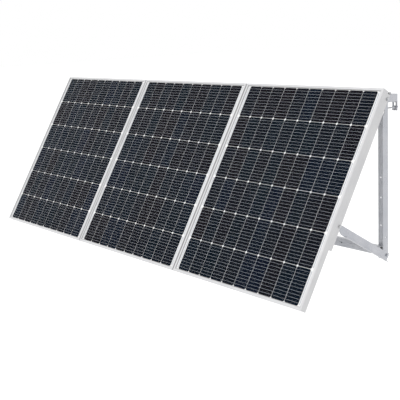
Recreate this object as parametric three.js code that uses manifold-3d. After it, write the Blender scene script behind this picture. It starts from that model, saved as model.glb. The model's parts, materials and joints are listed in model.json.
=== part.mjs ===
// Balcony solar set: three framed solar modules, side by side, each hung from a
// balcony railing by a pair of folding tilt brackets.
// Millimetres. +X runs along the array, +Y points back to the balcony, +Z is up.
// The origin is on top of the railing, under the hook arms of the middle module.
import * as THREE from "three";
import { mergeVertices } from "three/addons/utils/BufferGeometryUtils.js";
import Module from "manifold-3d";

// ---------------------------------------------------------------- dimensions
const GAP = 0.3; // clearance left between neighbouring pieces
const OVER = 1; // how far a cutting tool runs past the metal that it cuts
const TILT = 31; // degrees between a module and the vertical

const MODULE = { width: 990, height: 1134, depth: 35, pitch: 998, count: 3 };
const FRAME = { wall: 2, lip: 12.5, lipThick: 1.8, shelf: 8.2, shelfThick: 2,
  flange: 28, flangeThick: 2, mitreGap: 0.2 };
const ROUND_STEPS = 20; // flats on a full circle
const GLASS = { front: 2.1, thick: 3.2, edge: 2.5 };
const LAMINATE = { front: 5.6, thick: 2.3 };
const JUNCTION_BOX = { width: 110, height: 90, depth: 17.8, bevel: 6, fromTop: 75,
  glandRadius: 7, glandLength: 16, glandSpacing: 60 };

// Bracket sections. "In" is the distance inwards from the outer face of the rail.
// Heights and depths are counted from the tilt pivot.
const PIVOT = { railBack: 48, aboveRailing: 17, fromTopEdge: 35, behindFrame: 12 };
const INNER_INSET = 14; // brackets beside a neighbouring module stand this far in
const HOLE = 4.3; // radius of the M8 clearance holes
const NOSE = 8; // radius of the rounded metal in front of the pivot bolt
const RAIL = { thick: 3, depth: 21, flange: 30, top: 25, length: 812, corner: 8,
  strutHole: 664 };
const STRUT = { in0: 3.5, thick: 4, upper: 13, lower: 29, nose: 8, upperTaper: 20,
  lowerTaper: 36, tail: 12, lipThick: 3.5, lipOut: 10.5, lipStart: 65 };
const POST = { in0: 8, thick: 4, front: -23, back: 15, bottom: -790, top: 14,
  headFront: 2, neckBottom: -62, flangeIn: 38, flangeTop: -80, boltIn: 23,
  flangeHoles: [-381, -481, -621, -744], webHole: -685, slotHalf: 5.25 };
const LUG = { in1: 30, thick: 4, low: -58, high: -34 };
const ARM = { in0: 3.5, thick: 4, flangeIn: 33.5, flangeThick: 3.5, low: -17, high: 21,
  upperFront: 5, lowerFront: 2, flangeFront: 17, back: 78, slotFrom: 15.5, slotTo: 57.5,
  slotHalf: 4.5 };
const TONGUE = { footIn0: 13, footIn1: 31, footFront: 8, thick: 4, behindArm: 0.5,
  plateIn0: 5, plateIn1: 35, low: -62, slotLow: -52, slotHigh: -20, slotHalf: 5.2,
  boltsAt: [20, 41], boltIn: 20, clampBoltZ: -46 };
const CROSS = { in0: 9, deep: 25, low: -766, high: -722, wall: 2.5, holePitch: 240 };
const JOINER = { half: 52, thick: 4, low: -501, high: -361 };

// ------------------------------------------------------------ solids and cuts
const wasm = await Module();
wasm.setup();

// A three.js geometry as a manifold-3d solid.
function solid(geometry) {
  const bare = geometry.index ? geometry.toNonIndexed() : geometry.clone();
  bare.deleteAttribute("normal");
  bare.deleteAttribute("uv");
  const merged = mergeVertices(bare, 1e-4);
  return new wasm.Manifold(new wasm.Mesh({
    numProp: 3,
    vertProperties: new Float32Array(merged.attributes.position.array),
    triVerts: new Uint32Array(merged.index.array),
  }));
}

function extruded(points, length) {
  const shape = new THREE.Shape(points.map(([a, b]) => new THREE.Vector2(a, b)));
  return new THREE.ExtrudeGeometry(shape, { depth: length, bevelEnabled: false });
}

// A prism along X whose outline is a list of [y, z] points.
function prismX(points, x0, x1) {
  const turn = new THREE.Matrix4().set(0, 0, 1, x0, 1, 0, 0, 0, 0, 1, 0, 0, 0, 0, 0, 1);
  return solid(extruded(points, x1 - x0).applyMatrix4(turn));
}

// A prism along Y whose outline is a list of [x, z] points.
function prismY(points, y0, y1) {
  const turn = new THREE.Matrix4().set(0, 1, 0, 0, 0, 0, 1, y0, 1, 0, 0, 0, 0, 0, 0, 1);
  const swapped = points.map(([x, z]) => [z, x]);
  return solid(extruded(swapped, y1 - y0).applyMatrix4(turn));
}

// A prism along Z whose outline is a list of [x, y] points.
function prismZ(points, z0, z1) {
  return solid(extruded(points, z1 - z0).translate(0, 0, z0));
}

function box(x0, x1, y0, y1, z0, z1) {
  const geometry = new THREE.BoxGeometry(x1 - x0, y1 - y0, z1 - z0);
  return solid(geometry.translate((x0 + x1) / 2, (y0 + y1) / 2, (z0 + z1) / 2));
}

// Points on an arc, from angle a0 to angle a1 in degrees.
function arc(cx, cy, radius, a0, a1, steps) {
  return Array.from({ length: steps + 1 }, (_, i) => {
    const a = THREE.MathUtils.degToRad(a0 + ((a1 - a0) * i) / steps);
    return [cx + radius * Math.cos(a), cy + radius * Math.sin(a)];
  });
}

function disc(cx, cy, radius) {
  return arc(cx, cy, radius, 0, 360, ROUND_STEPS).slice(0, -1);
}

// A slot with round ends between two points on one vertical or horizontal line.
function slot(x0, y0, x1, y1, radius) {
  const along = x0 === x1 ? 90 : 0;
  return [...arc(x1, y1, radius, along - 90, along + 90, ROUND_STEPS / 2),
    ...arc(x0, y0, radius, along + 90, along + 270, ROUND_STEPS / 2)];
}

const join = (parts) => parts.reduce((a, b) => a.add(b));
const cut = (part, tools) => tools.reduce((a, b) => a.subtract(b), part);

// ------------------------------------------------------------------ materials
const metal = (color, roughness) =>
  new THREE.MeshStandardMaterial({ color, metalness: 0.9, roughness });
const MATERIALS = {
  frame: metal(0xd9dadc, 0.45),
  bracket: metal(0xc4c6c9, 0.4),
  glass: new THREE.MeshStandardMaterial({
    color: 0x1a1f2a, roughness: 0.1, transparent: true, opacity: 0.35 }),
  laminate: new THREE.MeshStandardMaterial({ color: 0x14171d, roughness: 0.5 }),
  plastic: new THREE.MeshStandardMaterial({ color: 0x18191b, roughness: 0.6 }),
};

function addMesh(group, name, part, material) {
  const made = part.getMesh();
  const geometry = new THREE.BufferGeometry();
  geometry.setAttribute("position",
    new THREE.BufferAttribute(new Float32Array(made.vertProperties), 3));
  geometry.setIndex(new THREE.BufferAttribute(new Uint32Array(made.triVerts), 1));
  geometry.computeVertexNormals();
  const mesh = new THREE.Mesh(geometry, MATERIALS[material]);
  mesh.name = name;
  group.add(mesh);
}

// -------------------------------------------------------------- module pieces
const FRONT = -PIVOT.behindFrame - MODULE.depth; // front plane, from the pivot
const TOP = PIVOT.fromTopEdge;
const BOTTOM = TOP - MODULE.height;
const MIDDLE = (TOP + BOTTOM) / 2;

// One mitred frame bar: outer face on z = 0, front on y = 0, centred on x = 0.
function frameBar(length) {
  const { wall, lip, lipThick, shelf, shelfThick, flange, flangeThick } = FRAME;
  const deep = MODULE.depth;
  const profile = [[0, 0], [lip, 0], [lip, lipThick], [wall, lipThick], [wall, shelf],
    [lip, shelf], [lip, shelf + shelfThick], [wall, shelf + shelfThick],
    [wall, deep - flangeThick], [flange, deep - flangeThick], [flange, deep], [0, deep]];
  const geometry = extruded(profile, 1);
  const position = geometry.getAttribute("position");
  for (let i = 0; i < position.count; i++) {
    const end = position.getZ(i) > 0.5 ? 1 : -1;
    position.setZ(i, end * (length / 2 - FRAME.mitreGap - position.getX(i)));
  }
  const turn = new THREE.Matrix4().set(0, 0, -1, 0, 0, 1, 0, 0, 1, 0, 0, 0, 0, 0, 0, 1);
  return solid(geometry.applyMatrix4(turn));
}

function sheet(front, thick) {
  const x = MODULE.width / 2 - GLASS.edge;
  return box(-x, x, FRONT + front, FRONT + front + thick,
    BOTTOM + GLASS.edge, TOP - GLASS.edge);
}

function junctionBox() {
  const { width, height, depth, bevel, fromTop, glandRadius, glandLength,
    glandSpacing } = JUNCTION_BOX;
  const y0 = FRONT + LAMINATE.front + LAMINATE.thick + GAP;
  const y1 = y0 + depth;
  const z1 = TOP - fromTop;
  const z0 = z1 - height;
  const side = [[y0, z0], [y1 - bevel, z0], [y1, z0 + bevel], [y1, z1 - bevel],
    [y1 - bevel, z1], [y0, z1]];
  const glands = [-1, 1].map((s) =>
    prismZ(disc((s * glandSpacing) / 2, (y0 + y1) / 2, glandRadius),
      z0 - glandLength, z0 + OVER));
  return join([prismX(side, -width / 2, width / 2), ...glands]);
}

function addModule(group, number) {
  const { width, height } = MODULE;
  const bars = { bottom: [0, 0, BOTTOM, width], top: [180, 0, TOP, width],
    left: [90, -width / 2, MIDDLE, height], right: [-90, width / 2, MIDDLE, height] };
  for (const [side, [turn, x, z, length]] of Object.entries(bars)) {
    const bar = frameBar(length).rotate([0, turn, 0]).translate([x, FRONT, z]);
    addMesh(group, `frame_${side}_${number}`, bar, "frame");
  }
  addMesh(group, `glass_${number}`, sheet(GLASS.front, GLASS.thick), "glass");
  addMesh(group, `laminate_${number}`, sheet(LAMINATE.front, LAMINATE.thick), "laminate");
  addMesh(group, `junction_box_${number}`, junctionBox(), "plastic");
}

// ------------------------------------------------------------- bracket pieces
// Bracket pieces are drawn for a right-hand side with x = -in, then moved to the
// rail's outer face; a left-hand bracket is the mirror image.
const postBoltZ = -RAIL.strutHole / Math.cos(THREE.MathUtils.degToRad(TILT));
const strutLength = RAIL.strutHole * Math.tan(THREE.MathUtils.degToRad(TILT));

function panelRail() {
  const front = -PIVOT.behindFrame + GAP;
  const back = front - GAP + RAIL.depth;
  const top = RAIL.top;
  const bottom = top - RAIL.length;
  const r = RAIL.corner;
  const leg = prismX([[front, top], [front, bottom],
    ...arc(back - r, bottom + r, r, -90, 0, ROUND_STEPS / 4), [back, top]], -RAIL.thick, 0);
  const flange = box(-RAIL.flange, 0, front, front + RAIL.thick, bottom, top);
  return cut(join([leg, flange]),
    [0, -RAIL.strutHole].map((z) => prismX(disc(0, z, HOLE), -RAIL.thick - OVER, OVER)));
}

function strut() {
  const { in0, thick, upper, lower, nose, upperTaper, lowerTaper, tail, lipThick, lipOut,
    lipStart } = STRUT;
  const end = strutLength + tail;
  // Angle on the nose, from the strut's own line, where a straight taper leaves it.
  const leaves = (taper, half) => THREE.MathUtils.radToDeg(
    Math.atan2(half, taper) + Math.acos(nose / Math.hypot(taper, half)));
  const bar = prismX([[upperTaper, upper],
    ...arc(0, 0, nose, leaves(upperTaper, upper), 360 - leaves(lowerTaper, lower),
      ROUND_STEPS / 2),
    [lowerTaper, -lower], [end, -lower], [end, upper]], -in0 - thick, -in0);
  const lip = box(-in0 - thick, -in0 + lipOut, lipStart, end, -lower, -lower + lipThick);
  return cut(join([bar, lip]), [0, strutLength].map((t) =>
    prismX(disc(t, 0, HOLE), -in0 - thick - OVER, -in0 + OVER)));
}

function post() {
  const { in0, thick, front, back, bottom, top, headFront, neckBottom, flangeIn, flangeTop,
    boltIn, flangeHoles, webHole, slotHalf } = POST;
  const web = prismX([[front, bottom], [back, bottom], [back, top], [headFront, top],
    ...arc(0, 0, NOSE, 120, 180, 4), [-NOSE, neckBottom], [front, flangeTop]],
    -in0 - thick, -in0);
  const flange = box(-flangeIn, -in0, front, front + thick, bottom, flangeTop);
  const lug = box(-LUG.in1, -in0, back - LUG.thick, back, LUG.low, LUG.high);
  const across = (points) => prismX(points, -in0 - thick - OVER, -in0 + OVER);
  return cut(join([web, flange, lug]), [
    across(disc(0, 0, HOLE)),
    across(disc(0, webHole, HOLE)),
    across(slot(0, bottom - OVER, 0, postBoltZ, slotHalf)),
    prismY(disc(-TONGUE.boltIn, TONGUE.clampBoltZ, HOLE), back - LUG.thick - OVER, back + OVER),
    ...flangeHoles.map((z) =>
      prismY(disc(-boltIn, z, HOLE), front - OVER, front + thick + OVER)),
  ]);
}

function hookArm() {
  const { in0, thick, flangeIn, flangeThick, low, high, upperFront, lowerFront,
    flangeFront, back, slotFrom, slotTo, slotHalf } = ARM;
  const plate = prismX([[back, low], [back, high], [upperFront, high],
    ...arc(0, 0, NOSE, 120, 240, 8), [lowerFront, low]], -in0 - thick, -in0);
  const upper = box(-flangeIn, -in0, upperFront, back, high - flangeThick, high);
  const lower = box(-flangeIn, -in0, flangeFront, back, low, low + flangeThick);
  return cut(join([plate, upper, lower]), [
    prismX(disc(0, 0, HOLE), -in0 - thick - OVER, -in0 + OVER),
    prismZ(slot(-TONGUE.boltIn, slotFrom + slotHalf, -TONGUE.boltIn, slotTo - slotHalf,
      slotHalf), high - flangeThick - OVER, high + OVER),
  ]);
}

function hookTongue() {
  const { footIn0, footIn1, footFront, thick, behindArm, plateIn0, plateIn1, low,
    slotLow, slotHigh, slotHalf, boltsAt, boltIn } = TONGUE;
  const high = ARM.high - ARM.flangeThick - GAP;
  const y0 = ARM.back + behindArm;
  const foot = box(-footIn1, -footIn0, footFront, y0 + thick, high - thick, high);
  const plate = box(-plateIn1, -plateIn0, y0, y0 + thick, low, high);
  return cut(join([foot, plate]), [
    prismY(slot(-boltIn, slotLow + slotHalf, -boltIn, slotHigh - slotHalf, slotHalf),
      y0 - OVER, y0 + thick + OVER),
    ...boltsAt.map((y) => prismZ(disc(-boltIn, y, HOLE), high - thick - OVER, high + OVER)),
  ]);
}

// The cross rail between the two posts of one module.
function crossRail(x0, x1) {
  const y1 = POST.front - GAP;
  const y0 = y1 - CROSS.deep;
  const w = CROSS.wall;
  const tube = cut(box(x0, x1, y0, y1, CROSS.low, CROSS.high),
    [box(x0 - OVER, x1 + OVER, y0 + w, y1 - w, CROSS.low + w, CROSS.high - w)]);
  const z = (CROSS.low + CROSS.high) / 2;
  const inset = POST.boltIn - CROSS.in0;
  const holes = [x0 + inset, x0 + inset + CROSS.holePitch, x1 - inset - CROSS.holePitch,
    x1 - inset];
  return cut(tube, holes.map((x) => prismY(disc(x, z, HOLE), y0 - OVER, y1 + OVER)));
}

// The plate that joins the posts of two neighbouring modules.
function postJoiner() {
  const { half, thick, low, high } = JOINER;
  const y1 = POST.front - GAP;
  const x = (MODULE.pitch - MODULE.width) / 2 + INNER_INSET + POST.boltIn;
  const holes = POST.flangeHoles.filter((z) => z > low && z < high);
  return cut(box(-half, half, y1 - thick, y1, low, high),
    holes.flatMap((z) => [-x, x].map((hx) =>
      prismY(disc(hx, z, HOLE), y1 - thick - OVER, y1 + OVER))));
}

// ------------------------------------------------------------------- assembly
const root = new THREE.Group();
const pivotLine = new THREE.Group();
pivotLine.position.set(0, -PIVOT.railBack, PIVOT.aboveRailing);
root.add(pivotLine);

// A group turned about X by an angle in degrees, at a point of the pivot line.
function turned(y, z, degrees) {
  const group = new THREE.Group();
  group.position.set(0, y, z);
  group.rotation.x = THREE.MathUtils.degToRad(degrees);
  pivotLine.add(group);
  return group;
}

const angle = THREE.MathUtils.degToRad(TILT);
const modules = turned(0, 0, -TILT);
const struts = turned(-RAIL.strutHole * Math.sin(angle), -RAIL.strutHole * Math.cos(angle),
  -TILT);

for (let number = 1; number <= MODULE.count; number++) {
  const centre = (number - (MODULE.count + 1) / 2) * MODULE.pitch;
  const holder = new THREE.Group();
  holder.position.x = centre;
  modules.add(holder);
  addModule(holder, number);

  const faces = {};
  for (const [side, way] of [["left", -1], ["right", 1]]) {
    const outermost = number === (way < 0 ? 1 : MODULE.count);
    const face = centre + way * (MODULE.width / 2 - (outermost ? 0 : INNER_INSET));
    faces[side] = face;
    const seat = (part) => (way < 0 ? part.mirror([1, 0, 0]) : part).translate([face, 0, 0]);
    const label = `${number}_${side}`;
    addMesh(modules, `panel_rail_${label}`, seat(panelRail()), "bracket");
    addMesh(struts, `strut_${label}`, seat(strut()), "bracket");
    addMesh(pivotLine, `post_${label}`, seat(post()), "bracket");
    addMesh(pivotLine, `hook_arm_${label}`, seat(hookArm()), "bracket");
    addMesh(pivotLine, `hook_tongue_${label}`, seat(hookTongue()), "bracket");
  }
  addMesh(pivotLine, `cross_rail_${number}`,
    crossRail(faces.left + CROSS.in0, faces.right - CROSS.in0), "bracket");
  if (number < MODULE.count)
    addMesh(pivotLine, `post_joiner_${number}`,
      postJoiner().translate([centre + MODULE.pitch / 2, 0, 0]), "bracket");
}

export default root;
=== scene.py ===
import json
import math
import random

import bmesh
import bpy
from mathutils import Matrix, Vector


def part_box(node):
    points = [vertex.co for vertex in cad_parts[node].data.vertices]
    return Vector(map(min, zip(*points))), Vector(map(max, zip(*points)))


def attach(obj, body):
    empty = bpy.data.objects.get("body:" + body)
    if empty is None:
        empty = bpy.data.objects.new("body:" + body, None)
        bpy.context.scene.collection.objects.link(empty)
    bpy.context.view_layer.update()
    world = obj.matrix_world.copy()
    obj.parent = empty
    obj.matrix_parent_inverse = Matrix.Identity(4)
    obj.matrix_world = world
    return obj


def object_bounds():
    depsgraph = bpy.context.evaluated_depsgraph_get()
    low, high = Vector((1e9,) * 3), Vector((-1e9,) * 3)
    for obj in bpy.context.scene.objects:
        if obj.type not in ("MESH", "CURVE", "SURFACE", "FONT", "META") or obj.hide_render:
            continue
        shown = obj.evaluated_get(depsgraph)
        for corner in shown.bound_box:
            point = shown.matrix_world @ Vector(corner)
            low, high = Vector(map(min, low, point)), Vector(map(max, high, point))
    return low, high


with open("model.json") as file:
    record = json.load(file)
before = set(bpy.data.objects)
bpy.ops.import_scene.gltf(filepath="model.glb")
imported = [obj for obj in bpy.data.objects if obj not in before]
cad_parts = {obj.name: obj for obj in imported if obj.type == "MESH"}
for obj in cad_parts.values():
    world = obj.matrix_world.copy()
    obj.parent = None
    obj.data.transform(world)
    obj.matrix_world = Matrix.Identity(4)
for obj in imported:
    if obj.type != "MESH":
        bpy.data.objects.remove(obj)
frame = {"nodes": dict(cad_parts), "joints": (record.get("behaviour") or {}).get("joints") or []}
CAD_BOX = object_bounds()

# ------------------------------------------------------------------ sizes (metres)
MM = 0.001
COLUMNS, ROWS = 10, 6
COLUMN_PITCH, ROW_PITCH = 92.5 * MM, 184 * MM
CELL_WIDTH, CELL_HEIGHT, CELL_CORNER = 91.3 * MM, 182.5 * MM, 6.5 * MM
CELL_THICK, RIBBON_THICK = 0.10 * MM, 0.10 * MM
RIBBONS_PER_CELL, RIBBON_WIDTH = 10, 0.8 * MM
RIBBON_SPREAD = 0.93  # share of a cell's height that its ribbons are spread over
BUS_WIDTH, BUS_FROM_CELLS = 5 * MM, 5 * MM
BUS_REACH = 0.46  # how far a gathering ribbon runs each way, in cell heights

LIP_OVER_GLASS = 10 * MM
SEAL_WIDTH, SEAL_HEIGHT, SEAL_GAP = 2 * MM, 1.3 * MM, 0.1 * MM

BOLT_RADIUS, THREAD_PITCH, THREAD_DEPTH = 4 * MM, 1.25 * MM, 0.35 * MM
HEAD_ACROSS, HEAD_HEIGHT, NUT_HEIGHT = 13 * MM, 5.3 * MM, 6.5 * MM
HEXAGON_STEPS = 36  # points around a head or nut
WASHER_RADIUS, WASHER_THICK = 8 * MM, 1.6 * MM
WASHER_EDGE, WASHER_BORE_SLACK = 0.3 * MM, 0.2 * MM
SLIP = 0.3 * MM  # gap between a washer and the metal under it
SPARE_THREAD = 3 * MM  # thread that stands proud of a nut
UNDER_HEAD = -SLIP - WASHER_THICK  # underside of a head, along the bolt from the metal's face
HEAD_BITE = 0.5 * MM  # how far a shank runs into its head
NUT_SLACK, CLAMP_NUT_SLACK = 0.05 * MM, 0.1 * MM
CLAMP_PLAIN_SHANK = 30 * MM

GLAND_LENGTH, GLAND_FROM_MIDDLE, GLAND_CAP_GAP = 16 * MM, 30 * MM, 0.1 * MM
LID_INSET, LID_THICK, LID_CORNER, LID_GAP = 9 * MM, 2 * MM, 5 * MM, 0.1 * MM
SCREW_PROFILE = [(0.05 * MM, 3 * MM), (1.2 * MM, 3 * MM), (1.8 * MM, 2.3 * MM)]
GLAND_CAP_PROFILE = [(0, 6.4 * MM), (1.5 * MM, 7.4 * MM), (8 * MM, 7.4 * MM), (11 * MM, 5.4 * MM),
    (12 * MM, 3 * MM)]
PLUG_GAP, PLUG_DEPTH, PLUG_RECESS, PLUG_CORNER = 0.15 * MM, 8 * MM, 0.6 * MM, 1.5 * MM
CROSS_RAIL_WALL = 2.5 * MM
LID_BEVEL, CAP_BEVEL, PLUG_BEVEL = 0.6 * MM, 0.3 * MM, 0.5 * MM

FLOOR_REACH, FLOOR_DROP = 60, 1.3
SUN_TOWARDS, SUN_STRENGTH, SUN_ANGLE = (0.12, -0.8, 0.59), 2.1, 50  # wide, so shadows are soft
CAMERA_AT, CAMERA_AIM = (4.290, -3.370, 0.402), (-0.369, 0.228, -0.761)
LENS, SENSOR, CAMERA_ROLL = 79.4, 36, -2.48  # millimetres, millimetres, degrees

# Depths into a bracket, inwards from the outer face of its panel rail.
STRUT_FACE, POST_INNER_FACE = 3.5 * MM, 12 * MM
STRUT_INNER_FACE = 7.5 * MM
TONGUE_MIDDLE, TONGUE_FOOT_THICK = 20 * MM, 4 * MM
RAIL_BOLT_IN, RAIL_FLANGE_THICK = 17 * MM, 3 * MM
RAIL_BOLT_HEIGHTS = [-60 * MM, -300 * MM, -540 * MM, -740 * MM]
TONGUE_BOLTS_BEHIND_PIVOT = [20 * MM, 41 * MM]
CLAMP_BOLT_BELOW_PIVOT = 46 * MM
LUG_FRONT_BEHIND_PIVOT = 11 * MM
HOOK_TRAVEL = 12 * MM
FLANGE_BOLT_IN, FLANGE_BACK_BEFORE_PIVOT = 23 * MM, 19 * MM
JOINER_BOLT_FROM_END = 20 * MM

joints = {joint["name"]: joint for joint in frame["joints"]}
MODULES = [1, 2, 3]
SIDES = {"left": -1, "right": 1}

first_pivot = Vector(joints["panel_tilt_1"]["pos_m"])
first_strut = Vector(joints["strut_swing_1"]["pos_m"])
TILT = math.atan2(first_pivot.y - first_strut.y, first_pivot.z - first_strut.z)
STRUT_DOWN_RAIL = (first_pivot - first_strut).length
STRUT_LENGTH = STRUT_DOWN_RAIL * math.tan(TILT)


def panel_space(number):
    """Upright module space, tilted into place: x along the row, y to the rear, z up, pivot at 0."""
    pivot = Vector(joints[f"panel_tilt_{number}"]["pos_m"])
    return Matrix.Translation(pivot) @ Matrix.Rotation(-TILT, 4, "X")


def space_box(node, space):
    """Lowest and highest corners of a CAD node in a space of its own."""
    inverse = space.inverted()
    points = [inverse @ v.co for v in frame["nodes"][node].data.vertices]
    low = Vector([min(p[i] for p in points) for i in range(3)])
    high = Vector([max(p[i] for p in points) for i in range(3)])
    return low, high


# ------------------------------------------------------------------ material nodes
def new_material(name):
    material = bpy.data.materials.new(name)
    material.use_nodes = True
    nodes = material.node_tree.nodes
    return material, nodes, material.node_tree.links, nodes["Principled BSDF"]


def noise(nodes, links, scale, detail=4, stretch=(1, 1, 1)):
    """Noise in object space, stretched along an axis by a small scale there."""
    place = nodes.new("ShaderNodeTexCoord")
    mapping = nodes.new("ShaderNodeMapping")
    mapping.inputs["Scale"].default_value = stretch
    texture = nodes.new("ShaderNodeTexNoise")
    texture.inputs["Scale"].default_value = scale
    texture.inputs["Detail"].default_value = detail
    links.new(place.outputs["Object"], mapping.inputs["Vector"])
    links.new(mapping.outputs["Vector"], texture.inputs["Vector"])
    return texture.outputs["Fac"]


def ramp(nodes, links, factor, stops):
    node = nodes.new("ShaderNodeValToRGB")
    elements = node.color_ramp.elements
    while len(elements) < len(stops):
        elements.new(0.5)
    for element, (at, colour) in zip(elements, stops):
        element.position = at
        element.color = (*colour, 1)
    links.new(factor, node.inputs["Fac"])
    return node.outputs["Color"]


def spread(nodes, links, factor, low, high):
    node = nodes.new("ShaderNodeMapRange")
    node.inputs["From Min"].default_value = 0.3
    node.inputs["From Max"].default_value = 0.7
    node.inputs["To Min"].default_value = low
    node.inputs["To Max"].default_value = high
    links.new(factor, node.inputs["Value"])
    return node.outputs["Result"]


def bump(nodes, links, shader, height, distance, strength=0.4, normal=None):
    node = nodes.new("ShaderNodeBump")
    if normal is not None:
        links.new(normal, node.inputs["Normal"])
    node.inputs["Strength"].default_value = strength
    node.inputs["Distance"].default_value = distance
    links.new(height, node.inputs["Height"])
    links.new(node.outputs["Normal"], shader.inputs["Normal"])


EDGE_RADIUS = 0.7 * MM
BARE_METAL = 1.15  # how much brighter a rubbed edge is than the finish


def worn_edges(nodes, links, shader, finish, radius, bare):
    """Rounds the edges in the shading and rubs the finish through to bare metal along them."""
    rounded = nodes.new("ShaderNodeBevel")
    rounded.samples = 4
    rounded.inputs["Radius"].default_value = radius
    flat = nodes.new("ShaderNodeNewGeometry")
    match = nodes.new("ShaderNodeVectorMath")
    match.operation = "DOT_PRODUCT"
    links.new(rounded.outputs["Normal"], match.inputs[0])
    links.new(flat.outputs["Normal"], match.inputs[1])
    edge = nodes.new("ShaderNodeMapRange")
    edge.inputs["From Min"].default_value = 0.99
    edge.inputs["From Max"].default_value = 0.85
    links.new(match.outputs["Value"], edge.inputs["Value"])
    patches = spread(nodes, links, noise(nodes, links, 35, 4), 0.2, 1.0)
    amount = nodes.new("ShaderNodeMath")
    amount.operation = "MULTIPLY"
    links.new(edge.outputs["Result"], amount.inputs[0])
    links.new(patches, amount.inputs[1])
    mix = nodes.new("ShaderNodeMix")
    mix.data_type = "RGBA"
    links.new(amount.outputs["Value"], mix.inputs["Factor"])
    links.new(finish, mix.inputs["A"])
    mix.inputs["B"].default_value = (*bare, 1)
    links.new(mix.outputs["Result"], shader.inputs["Base Color"])
    return rounded.outputs["Normal"]


def aluminium(name, dark, light, metal, rough_low, rough_high, grain):
    """Extruded aluminium: drawn grain along the bar, cloudy anodising, and edges rubbed bright."""
    material, nodes, links, shader = new_material(name)
    clouds = noise(nodes, links, 9, 5)
    drawn = noise(nodes, links, 420, 3, grain)
    finish = ramp(nodes, links, clouds, [(0.3, dark), (0.7, light)])
    bare = tuple(c * BARE_METAL for c in light)
    normal = worn_edges(nodes, links, shader, finish, EDGE_RADIUS, bare)
    links.new(spread(nodes, links, drawn, rough_low, rough_high), shader.inputs["Roughness"])
    shader.inputs["Metallic"].default_value = metal
    bump(nodes, links, shader, drawn, 0.08 * MM, normal=normal)
    return material


def steel():
    """Zinc-plated bolts: bright, with a faint blue and yellow cast and fine turning marks."""
    material, nodes, links, shader = new_material("plated_steel")
    clouds = noise(nodes, links, 60, 3)
    fine = noise(nodes, links, 1500, 2)
    stops = [(0.3, (0.40, 0.42, 0.46)), (0.7, (0.52, 0.52, 0.51))]
    links.new(ramp(nodes, links, clouds, stops), shader.inputs["Base Color"])
    links.new(spread(nodes, links, fine, 0.24, 0.42), shader.inputs["Roughness"])
    shader.inputs["Metallic"].default_value = 1.0
    bump(nodes, links, shader, fine, 0.03 * MM)
    return material


def backsheet():
    """White polymer sheet behind the cells, faintly mottled."""
    material, nodes, links, shader = new_material("white_backsheet")
    mottle = noise(nodes, links, 45, 5)
    fine = noise(nodes, links, 900, 2)
    stops = [(0.3, (0.64, 0.64, 0.64)), (0.7, (0.69, 0.69, 0.685))]
    links.new(ramp(nodes, links, mottle, stops), shader.inputs["Base Color"])
    links.new(spread(nodes, links, mottle, 0.45, 0.6), shader.inputs["Roughness"])
    bump(nodes, links, shader, fine, 0.05 * MM)
    return material


# Colour casts of the cells, from blue by way of green to brown.
CELL_CASTS = [(0.0, (0.0030, 0.0050, 0.0120)), (0.35, (0.0030, 0.0060, 0.0100)),
    (0.65, (0.0040, 0.0050, 0.0085)), (1.0, (0.0060, 0.0046, 0.0066))]


def silicon():
    """Monocrystalline cells: near black, each with its own blue, green or brown cast."""
    material, nodes, links, shader = new_material("silicon_cell")
    tint = nodes.new("ShaderNodeAttribute")
    tint.attribute_name = "cell_tint"
    cast = ramp(nodes, links, tint.outputs["Fac"], CELL_CASTS)
    clouds = noise(nodes, links, 14, 3)
    mix = nodes.new("ShaderNodeMix")
    mix.data_type = "RGBA"
    mix.blend_type = "MULTIPLY"
    mix.inputs["Factor"].default_value = 0.6
    links.new(cast, mix.inputs["A"])
    shade = ramp(nodes, links, clouds, [(0.3, (0.72, 0.74, 0.80)), (0.7, (1.0, 1.0, 1.0))])
    links.new(shade, mix.inputs["B"])
    links.new(mix.outputs["Result"], shader.inputs["Base Color"])
    links.new(spread(nodes, links, clouds, 0.32, 0.45), shader.inputs["Roughness"])
    shader.inputs["Specular IOR Level"].default_value = 0.02
    return material


def solder_ribbon():
    """Tinned copper ribbon over the cells."""
    material, nodes, links, shader = new_material("tinned_ribbon")
    streaks = noise(nodes, links, 300, 3, (0.15, 1, 1))
    stops = [(0.3, (0.32, 0.34, 0.38)), (0.7, (0.44, 0.46, 0.50))]
    links.new(ramp(nodes, links, streaks, stops), shader.inputs["Base Color"])
    links.new(spread(nodes, links, streaks, 0.35, 0.55), shader.inputs["Roughness"])
    shader.inputs["Metallic"].default_value = 0.4
    return material


def solar_glass():
    """Low-iron glass with an anti-reflection coat: nearly clear, finely pitted, weakly shiny."""
    material, nodes, links, shader = new_material("solar_glass")
    grain = noise(nodes, links, 700, 2)
    shader.inputs["Base Color"].default_value = (0.012, 0.016, 0.022, 1)
    shader.inputs["Alpha"].default_value = 0.03
    shader.inputs["IOR"].default_value = 1.5
    links.new(spread(nodes, links, grain, 0.08, 0.16), shader.inputs["Roughness"])
    bump(nodes, links, shader, grain, 0.02 * MM)
    return material


def moulded_plastic(name, dark, light):
    """Moulded plastic or cured sealant with a fine grain."""
    material, nodes, links, shader = new_material(name)
    grain = noise(nodes, links, 1100, 3)
    clouds = noise(nodes, links, 30, 3)
    links.new(ramp(nodes, links, clouds, [(0.3, dark), (0.7, light)]), shader.inputs["Base Color"])
    links.new(spread(nodes, links, grain, 0.42, 0.6), shader.inputs["Roughness"])
    bump(nodes, links, shader, grain, 0.12 * MM)
    return material


def plaster(name, colour):
    material, nodes, links, shader = new_material(name)
    mottle = noise(nodes, links, 3, 4)
    lighter = tuple(min(1, c * 1.02) for c in colour)
    tones = ramp(nodes, links, mottle, [(0.3, colour), (0.7, lighter)])
    links.new(tones, shader.inputs["Base Color"])
    shader.inputs["Roughness"].default_value = 0.9
    return material


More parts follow.
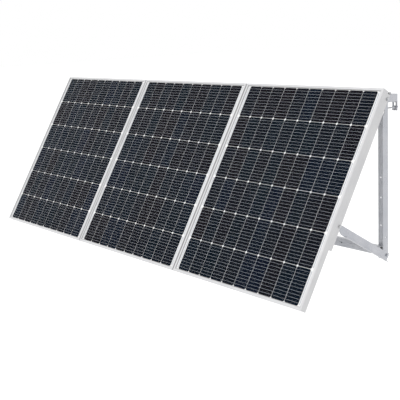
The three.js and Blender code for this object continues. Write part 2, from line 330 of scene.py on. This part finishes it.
FRAME_TONES = ((0.465, 0.465, 0.475), (0.51, 0.51, 0.515), 0.35, 0.36, 0.50)
BRACKET_TONES = ((0.37, 0.38, 0.41), (0.435, 0.44, 0.465), 0.85, 0.22, 0.34)
FRAME_ALONG_X = aluminium("anodised_frame_across", *FRAME_TONES, (0.02, 1, 1))
FRAME_UPRIGHT = aluminium("anodised_frame_upright", *FRAME_TONES, (1, 0.02, 0.02))
BRACKET = aluminium("mill_finish_bracket", *BRACKET_TONES, (1, 0.05, 0.02))
CROSS_BAR = aluminium("mill_finish_cross_bar", *BRACKET_TONES, (0.02, 1, 1))
STEEL = steel()
BACKSHEET = backsheet()
SILICON = silicon()
RIBBON = solder_ribbon()
GLASS = solar_glass()
# Grey of the sealant bead, darker than frame and backsheet: partly the seal's own colour, partly
# painted shadow for the shade line along the frame's lip.
GREY_SEAL_AND_PAINTED_LIP_SHADOW = moulded_plastic("grey_seal_and_painted_lip_shadow", (0.20, 0.20, 0.21), (0.26, 0.26, 0.27))
BLACK_PLASTIC = moulded_plastic("black_plastic", (0.018, 0.018, 0.02), (0.03, 0.03, 0.032))


# ------------------------------------------------------------------ mesh helpers
def finished(name, mesh_data, material, body, bevel=0.0, space=None):
    """Turns a bmesh into a piece that rides on a CAD body."""
    bmesh.ops.recalc_face_normals(mesh_data, faces=mesh_data.faces)
    mesh = bpy.data.meshes.new(name)
    mesh_data.to_mesh(mesh)
    mesh_data.free()
    piece = bpy.data.objects.new(name, mesh)
    bpy.context.scene.collection.objects.link(piece)
    if space is not None:
        mesh.transform(space)
    mesh.materials.append(material)
    if bevel:
        rounding = piece.modifiers.new("rounding", "BEVEL")
        rounding.width = bevel
        rounding.segments = 3
        rounding.limit_method = "ANGLE"
        rounding.angle_limit = math.radians(40)
    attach(piece, body)
    return piece


def add_prism(bm, outline, low, high):
    """A closed prism along y from a list of (x, z) points."""
    front = [bm.verts.new((x, low, z)) for x, z in outline]
    back = [bm.verts.new((x, high, z)) for x, z in outline]
    bm.faces.new(front)
    bm.faces.new(list(reversed(back)))
    count = len(outline)
    for i in range(count):
        j = (i + 1) % count
        bm.faces.new((front[i], back[i], back[j], front[j]))
    return front + back


def add_ring(bm, place, x, radius_at, sides):
    """Vertices around the x axis, where radius_at gives the radius at an angle."""
    ring = []
    for i in range(sides):
        angle = 2 * math.pi * i / sides
        across, up = math.cos(angle), math.sin(angle)
        radius = radius_at(angle)
        ring.append(bm.verts.new(place @ Vector((x, radius * across, radius * up))))
    return ring


def skin_rings(bm, rings, round_again):
    """Faces from ring to ring, then back to the first, or else closed by a face at each end."""
    pairs = list(zip(rings, rings[1:]))
    if round_again:
        pairs.append((rings[-1], rings[0]))
    else:
        bm.faces.new(rings[0])
        bm.faces.new(list(reversed(rings[-1])))
    for low, high in pairs:
        for i in range(len(low)):
            j = (i + 1) % len(low)
            bm.faces.new((low[i], low[j], high[j], high[i]))


def add_lathe(bm, profile, place, sides=32, hollow=False):
    """A turned solid about x from (x, radius) points, open along its axis when hollow."""
    rings = [add_ring(bm, place, x, lambda angle: radius, sides) for x, radius in profile]
    skin_rings(bm, rings, hollow)


def add_hexagon(bm, x0, x1, place, bore=0.0):
    """A hexagon bolt head or nut from x0 to x1, its corners turned down at both ends."""
    flat = HEAD_ACROSS / 2
    corner = flat / math.cos(math.pi / 6)
    chamfer, end_cap = (corner - flat) * 0.9, flat * 0.98
    stations = [(x0, end_cap), (x0 + chamfer, corner), (x1 - chamfer, corner), (x1, end_cap)]

    def radius_at(angle, cap):
        beside = (angle + math.pi / 6) % (math.pi / 3) - math.pi / 6
        return min(flat / math.cos(beside), cap)

    rings = [add_ring(bm, place, x, lambda angle: radius_at(angle, cap), HEXAGON_STEPS)
        for x, cap in stations]
    if bore:
        rings += [add_ring(bm, place, x, lambda angle: bore, HEXAGON_STEPS) for x in (x1, x0)]
    skin_rings(bm, rings, bool(bore))


def add_washer(bm, x0, place):
    inner, outer, x1 = BOLT_RADIUS + WASHER_BORE_SLACK, WASHER_RADIUS, x0 + WASHER_THICK
    profile = [(x0, inner), (x0, outer - WASHER_EDGE), (x0 + WASHER_EDGE, outer),
        (x1 - WASHER_EDGE, outer), (x1, outer - WASHER_EDGE), (x1, inner)]
    add_lathe(bm, profile, place, hollow=True)


def add_shank(bm, x0, x1, thread_from, place):
    """A bolt shank, plain to thread_from, then threaded in rings to a chamfered end at x1."""
    profile = [(x0, BOLT_RADIUS)]
    x = thread_from
    while x + THREAD_PITCH < x1:
        profile += [(x, BOLT_RADIUS), (x + THREAD_PITCH / 2, BOLT_RADIUS - THREAD_DEPTH)]
        x += THREAD_PITCH
    profile += [(x1 - THREAD_PITCH / 2, BOLT_RADIUS - THREAD_DEPTH), (x1, BOLT_RADIUS * 0.75)]
    add_lathe(bm, profile, place, sides=24)


def add_head(bm, place):
    """A bolt head and its washer, just below x = 0."""
    add_hexagon(bm, UNDER_HEAD - HEAD_HEIGHT, UNDER_HEAD, place)
    add_washer(bm, UNDER_HEAD, place)


def add_bolt(bm, grip, place):
    """A hexagon bolt along x: head and washer below x = 0, grip metres of metal, washer and nut."""
    add_head(bm, place)
    nut_face = grip + SLIP + WASHER_THICK
    add_washer(bm, grip + SLIP, place)
    add_hexagon(bm, nut_face, nut_face + NUT_HEIGHT, place, bore=BOLT_RADIUS + NUT_SLACK)
    end = nut_face + NUT_HEIGHT + SPARE_THREAD
    add_shank(bm, UNDER_HEAD - HEAD_BITE, end, grip, place)


def into_bracket(way, x, y, z):
    """A place whose +x points inwards through a bracket, from its outer side."""
    return Matrix.Translation((x, y, z)) @ Matrix.Rotation(math.pi if way > 0 else 0, 4, "Z")


def along_y(x, y, z):
    """A place whose +x points to the rear."""
    return Matrix.Translation((x, y, z)) @ Matrix.Rotation(math.pi / 2, 4, "Z")


# ------------------------------------------------------------------ module pieces
def add_cells(number):
    """The half-cut cells with their clipped corners, on the front of the laminate."""
    space = panel_space(number)
    low, high = space_box(f"laminate_{number}", space)
    middle_z = (low.z + high.z) / 2
    chooser = random.Random(number)
    bm = bmesh.new()
    tint = bm.verts.layers.float.new("cell_tint")
    w, h, c = CELL_WIDTH / 2, CELL_HEIGHT / 2, CELL_CORNER
    shape = [(-w + c, -h), (w - c, -h), (w, -h + c), (w, h - c),
        (w - c, h), (-w + c, h), (-w, h - c), (-w, -h + c)]
    for row in range(ROWS):
        z = middle_z + (row - (ROWS - 1) / 2) * ROW_PITCH
        for column in range(COLUMNS):
            x = (column - (COLUMNS - 1) / 2) * COLUMN_PITCH
            value = chooser.random()
            outline = [(x + a, z + b) for a, b in shape]
            for vertex in add_prism(bm, outline, low.y - CELL_THICK, low.y):
                vertex[tint] = value
    finished(f"cells_{number}", bm, SILICON, f"module_{number}", space=space)


def add_ribbons(number):
    """Ten ribbons across every row, and the wider ribbons that gather them at each end."""
    space = panel_space(number)
    low, high = space_box(f"laminate_{number}", space)
    middle_z = (low.z + high.z) / 2
    half_run = COLUMNS * COLUMN_PITCH / 2 + BUS_FROM_CELLS
    y1 = low.y - CELL_THICK
    y0 = y1 - RIBBON_THICK
    bm = bmesh.new()
    step = RIBBON_SPREAD * CELL_HEIGHT / RIBBONS_PER_CELL
    for row in range(ROWS):
        row_z = middle_z + (row - (ROWS - 1) / 2) * ROW_PITCH
        for ribbon in range(RIBBONS_PER_CELL):
            z = row_z + (ribbon - (RIBBONS_PER_CELL - 1) / 2) * step
            z0, z1 = z - RIBBON_WIDTH / 2, z + RIBBON_WIDTH / 2
            outline = [(-half_run, z0), (half_run, z0), (half_run, z1), (-half_run, z1)]
            add_prism(bm, outline, y0, y1)
        for end in (-1, 1):
            x0, x1 = sorted((end * half_run, end * (half_run + BUS_WIDTH)))
            top, bottom = row_z + CELL_HEIGHT * BUS_REACH, row_z - CELL_HEIGHT * BUS_REACH
            add_prism(bm, [(x0, bottom), (x1, bottom), (x1, top), (x0, top)], y0, y1)
    finished(f"ribbons_{number}", bm, RIBBON, f"module_{number}", space=space)


def add_seal_and_painted_lip_shadow(number):
    """A bead of sealant, three-cornered in section, where the frame's lip meets the glass; its grey
    is also painted shadow, standing in for the shade line under the lip.
    """
    space = panel_space(number)
    low, high = space_box(f"glass_{number}", space)
    inner = LIP_OVER_GLASS + SEAL_GAP
    bm = bmesh.new()
    rings = []
    for inwards, rise in ((0, SEAL_HEIGHT), (0, SEAL_GAP), (SEAL_WIDTH, SEAL_GAP)):
        x0, x1 = low.x + inner + inwards, high.x - inner - inwards
        z0, z1 = low.z + inner + inwards, high.z - inner - inwards
        corners = [(x0, z0), (x1, z0), (x1, z1), (x0, z1)]
        rings.append([bm.verts.new((x, low.y - rise, z)) for x, z in corners])
    skin_rings(bm, rings, True)
    finished(f"seal_and_painted_lip_shadow_{number}", bm, GREY_SEAL_AND_PAINTED_LIP_SHADOW, f"module_{number}", space=space)


def rounded_rectangle(x0, x1, z0, z1, radius, steps=6):
    points = []
    for cx, cz, start in ((x1 - radius, z0 + radius, -90), (x1 - radius, z1 - radius, 0),
            (x0 + radius, z1 - radius, 90), (x0 + radius, z0 + radius, 180)):
        for i in range(steps + 1):
            a = math.radians(start + 90 * i / steps)
            points.append((cx + radius * math.cos(a), cz + radius * math.sin(a)))
    return points


def add_box_lid(number):
    """Lid of the junction box, its four corner screws, and caps on the two glands."""
    space = panel_space(number)
    low, high = space_box(f"junction_box_{number}", space)
    body_low = low.z + GLAND_LENGTH
    bm = bmesh.new()
    lid = rounded_rectangle(low.x + LID_INSET, high.x - LID_INSET, body_low + LID_INSET,
        high.z - LID_INSET, LID_CORNER)
    add_prism(bm, lid, high.y + LID_GAP, high.y + LID_THICK)
    body = f"module_{number}"
    finished(f"box_lid_{number}", bm, BLACK_PLASTIC, body, LID_BEVEL, space)

    bm = bmesh.new()
    for x in (low.x + 2 * LID_INSET, high.x - 2 * LID_INSET):
        for z in (body_low + 2 * LID_INSET, high.z - 2 * LID_INSET):
            add_lathe(bm, SCREW_PROFILE, along_y(x, high.y + LID_THICK, z), 20)
    finished(f"lid_screws_{number}", bm, STEEL, body, 0, space)

    bm = bmesh.new()
    centre_y = (low.y + high.y) / 2
    for x in (-GLAND_FROM_MIDDLE, GLAND_FROM_MIDDLE):
        below = Matrix.Translation((x, centre_y, low.z - GLAND_CAP_GAP))
        add_lathe(bm, GLAND_CAP_PROFILE, below @ Matrix.Rotation(math.pi / 2, 4, "Y"), 24)
    finished(f"gland_caps_{number}", bm, BLACK_PLASTIC, body, CAP_BEVEL, space)


# ------------------------------------------------------------------ bracket pieces
def rail_face(number, side):
    """Outer face of a panel rail, along x."""
    low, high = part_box(f"panel_rail_{number}_{side}")
    return high.x if SIDES[side] > 0 else low.x


def add_tilt_bolts(number):
    """Pivot, strut and foot bolts of one module's two brackets."""
    pivot = Vector(joints[f"panel_tilt_{number}"]["pos_m"])
    hinge = Vector(joints[f"strut_swing_{number}"]["pos_m"])
    foot = hinge + STRUT_LENGTH * Vector((0, math.cos(TILT), -math.sin(TILT)))
    sets = {
        "pivot_bolts": (pivot, 0, POST_INNER_FACE, "brackets"),
        "strut_bolts": (hinge, 0, STRUT_INNER_FACE, f"module_{number}"),
        "foot_bolts": (foot, STRUT_FACE, POST_INNER_FACE, f"struts_{number}"),
    }
    for name, (point, outer, inner, body) in sets.items():
        bm = bmesh.new()
        for side, way in SIDES.items():
            x = rail_face(number, side) - way * outer
            add_bolt(bm, inner - outer, into_bracket(way, x, point.y, point.z))
        finished(f"{name}_{number}", bm, STEEL, body)


def add_rail_bolts(number):
    """Bolts that hold each panel rail to the back flange of the module's frame."""
    space = panel_space(number)
    bm = bmesh.new()
    for side, way in SIDES.items():
        low, high = space_box(f"panel_rail_{number}_{side}", space)
        flange_back = low.y + RAIL_FLANGE_THICK
        face = high.x if way > 0 else low.x
        for z in RAIL_BOLT_HEIGHTS:
            spot = Matrix.Translation((face - way * RAIL_BOLT_IN, flange_back, z))
            add_head(bm, spot @ Matrix.Rotation(-math.pi / 2, 4, "Z"))
    finished(f"rail_bolts_{number}", bm, STEEL, f"module_{number}", 0, space)


def add_hook_fasteners(number, side):
    """The two bolts in the arm's slot, and the clamp bolt that passes under the railing."""
    way = SIDES[side]
    pivot = Vector(joints[f"panel_tilt_{number}"]["pos_m"])
    x = rail_face(number, side) - way * TONGUE_MIDDLE
    arm_low, arm_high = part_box(f"hook_arm_{number}_{side}")
    tongue_low, tongue_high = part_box(f"hook_tongue_{number}_{side}")
    label, body = f"{number}_{side}", f"hook_{number}_{side}"

    foot_under = tongue_high.z - TONGUE_FOOT_THICK
    bm = bmesh.new()
    for behind in TONGUE_BOLTS_BEHIND_PIVOT:
        spot = Matrix.Translation((x, pivot.y + behind, foot_under))
        add_bolt(bm, arm_high.z - foot_under, spot @ Matrix.Rotation(-math.pi / 2, 4, "Y"))
    finished(f"tongue_bolts_{label}", bm, STEEL, body)

    z = pivot.z - CLAMP_BOLT_BELOW_PIVOT
    lug_front = pivot.y + LUG_FRONT_BEHIND_PIVOT
    nut_at = tongue_high.y - lug_front + SLIP + WASHER_THICK
    back = along_y(x, lug_front, z)
    bm = bmesh.new()
    add_head(bm, back)
    tip = nut_at + NUT_HEIGHT + HOOK_TRAVEL
    add_shank(bm, UNDER_HEAD - HEAD_BITE, tip, CLAMP_PLAIN_SHANK, back)
    finished(f"clamp_bolt_{label}", bm, STEEL, "brackets")

    bm = bmesh.new()
    add_washer(bm, nut_at - WASHER_THICK, back)
    add_hexagon(bm, nut_at, nut_at + NUT_HEIGHT, back, bore=BOLT_RADIUS + CLAMP_NUT_SLACK)
    finished(f"clamp_nut_{label}", bm, STEEL, body)


def add_cross_rail_bolts(number):
    """Bolts through the cross rail and the flanges of the module's two posts."""
    flange_back = joints[f"panel_tilt_{number}"]["pos_m"][1] - FLANGE_BACK_BEFORE_PIVOT
    low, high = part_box(f"cross_rail_{number}")
    bm = bmesh.new()
    for side, way in SIDES.items():
        x = rail_face(number, side) - way * FLANGE_BOLT_IN
        add_bolt(bm, flange_back - low.y, along_y(x, low.y, (low.z + high.z) / 2))
    finished(f"cross_rail_bolts_{number}", bm, STEEL, "brackets")


def add_joiner_bolts(number):
    """Four bolts through a joiner plate and the post flanges behind it."""
    flange_back = joints[f"panel_tilt_{number}"]["pos_m"][1] - FLANGE_BACK_BEFORE_PIVOT
    low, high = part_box(f"post_joiner_{number}")
    bm = bmesh.new()
    for neighbour, side in ((number, "right"), (number + 1, "left")):
        x = rail_face(neighbour, side) - SIDES[side] * FLANGE_BOLT_IN
        for z in (low.z + JOINER_BOLT_FROM_END, high.z - JOINER_BOLT_FROM_END):
            add_bolt(bm, flange_back - low.y, along_y(x, low.y, z))
    finished(f"joiner_bolts_{number}", bm, STEEL, "brackets")


def add_rail_plugs(number):
    """Black plugs pressed into the open ends of the cross rail."""
    low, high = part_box(f"cross_rail_{number}")
    edge = CROSS_RAIL_WALL + PLUG_GAP
    outline = rounded_rectangle(low.y + edge, high.y - edge, low.z + edge, high.z - edge,
        PLUG_CORNER)
    bm = bmesh.new()
    for x in (low.x + PLUG_RECESS, high.x - PLUG_RECESS - PLUG_DEPTH):
        vertices = add_prism(bm, outline, 0, PLUG_DEPTH)
        for vertex in vertices:
            y, along, z = vertex.co
            vertex.co = (x + along, y, z)
    finished(f"rail_plugs_{number}", bm, BLACK_PLASTIC, "brackets", PLUG_BEVEL)


# ------------------------------------------------------------------ carried-over CAD nodes
def dress_cad():
    """Gives every CAD node its look by the start of its name; all the others get BRACKET."""
    looks = {"frame_top": FRAME_ALONG_X, "frame_bottom": FRAME_ALONG_X,
        "frame_left": FRAME_UPRIGHT, "frame_right": FRAME_UPRIGHT, "panel_rail": FRAME_UPRIGHT,
        "glass": GLASS, "laminate": BACKSHEET, "junction_box": BLACK_PLASTIC,
        "cross_rail": CROSS_BAR, "post_joiner": CROSS_BAR}
    for name, node in frame["nodes"].items():
        fitting = (material for start, material in looks.items() if name.startswith(start))
        look = next(fitting, BRACKET)
        for index in range(len(node.data.materials)):
            node.material_slots[index].link = "OBJECT"
            node.material_slots[index].material = look


# ------------------------------------------------------------------ stage
def add_stage():
    """A pale floor well below the row, plain white surroundings and the plain colour transform."""
    level = CAD_BOX[0][2] - FLOOR_DROP
    floor_mesh = bpy.data.meshes.new("floor")
    signs = ((-1, -1), (1, -1), (1, 1), (-1, 1))
    corners = [(x * FLOOR_REACH, y * FLOOR_REACH, level) for x, y in signs]
    floor_mesh.from_pydata(corners, [], [(0, 1, 2, 3)])
    floor = bpy.data.objects.new("floor", floor_mesh)
    bpy.context.scene.collection.objects.link(floor)
    floor_mesh.materials.append(plaster("pale_floor", (0.94, 0.94, 0.94)))

    world = bpy.data.worlds.new("studio")
    world.use_nodes = True
    world.node_tree.nodes["Background"].inputs["Color"].default_value = (1, 1, 1, 1)
    world.node_tree.nodes["Background"].inputs["Strength"].default_value = 1.0
    bpy.context.scene.world = world
    bpy.context.scene.view_settings.view_transform = "Standard"


def add_soft_sun():
    """One very wide, distant lamp, so that the row is lit evenly and its shadows are soft."""
    light = bpy.data.lights.new("soft_sun", "SUN")
    light.energy = SUN_STRENGTH
    light.angle = math.radians(SUN_ANGLE)
    lamp = bpy.data.objects.new("soft_sun", light)
    lamp.rotation_euler = (-Vector(SUN_TOWARDS)).to_track_quat("-Z", "Y").to_euler()
    bpy.context.scene.collection.objects.link(lamp)


def add_camera():
    location, aim = Vector(CAMERA_AT), Vector(CAMERA_AIM)
    data = bpy.data.cameras.new("camera")
    data.lens = LENS
    data.sensor_width = SENSOR
    data.clip_end = 200
    camera = bpy.data.objects.new("camera", data)
    roll = Matrix.Rotation(math.radians(CAMERA_ROLL), 4, "Z")
    facing = (aim - location).to_track_quat("-Z", "Y").to_matrix().to_4x4()
    camera.matrix_world = Matrix.Translation(location) @ facing @ roll
    bpy.context.scene.collection.objects.link(camera)
    bpy.context.scene.camera = camera


add_camera()
dress_cad()
for number in MODULES:
    add_cells(number)
    add_ribbons(number)
    add_seal_and_painted_lip_shadow(number)
    add_box_lid(number)
    add_tilt_bolts(number)
    add_rail_bolts(number)
    add_cross_rail_bolts(number)
    add_rail_plugs(number)
    for side in SIDES:
        add_hook_fasteners(number, side)
for number in MODULES[:-1]:
    add_joiner_bolts(number)
add_stage()
add_soft_sun()
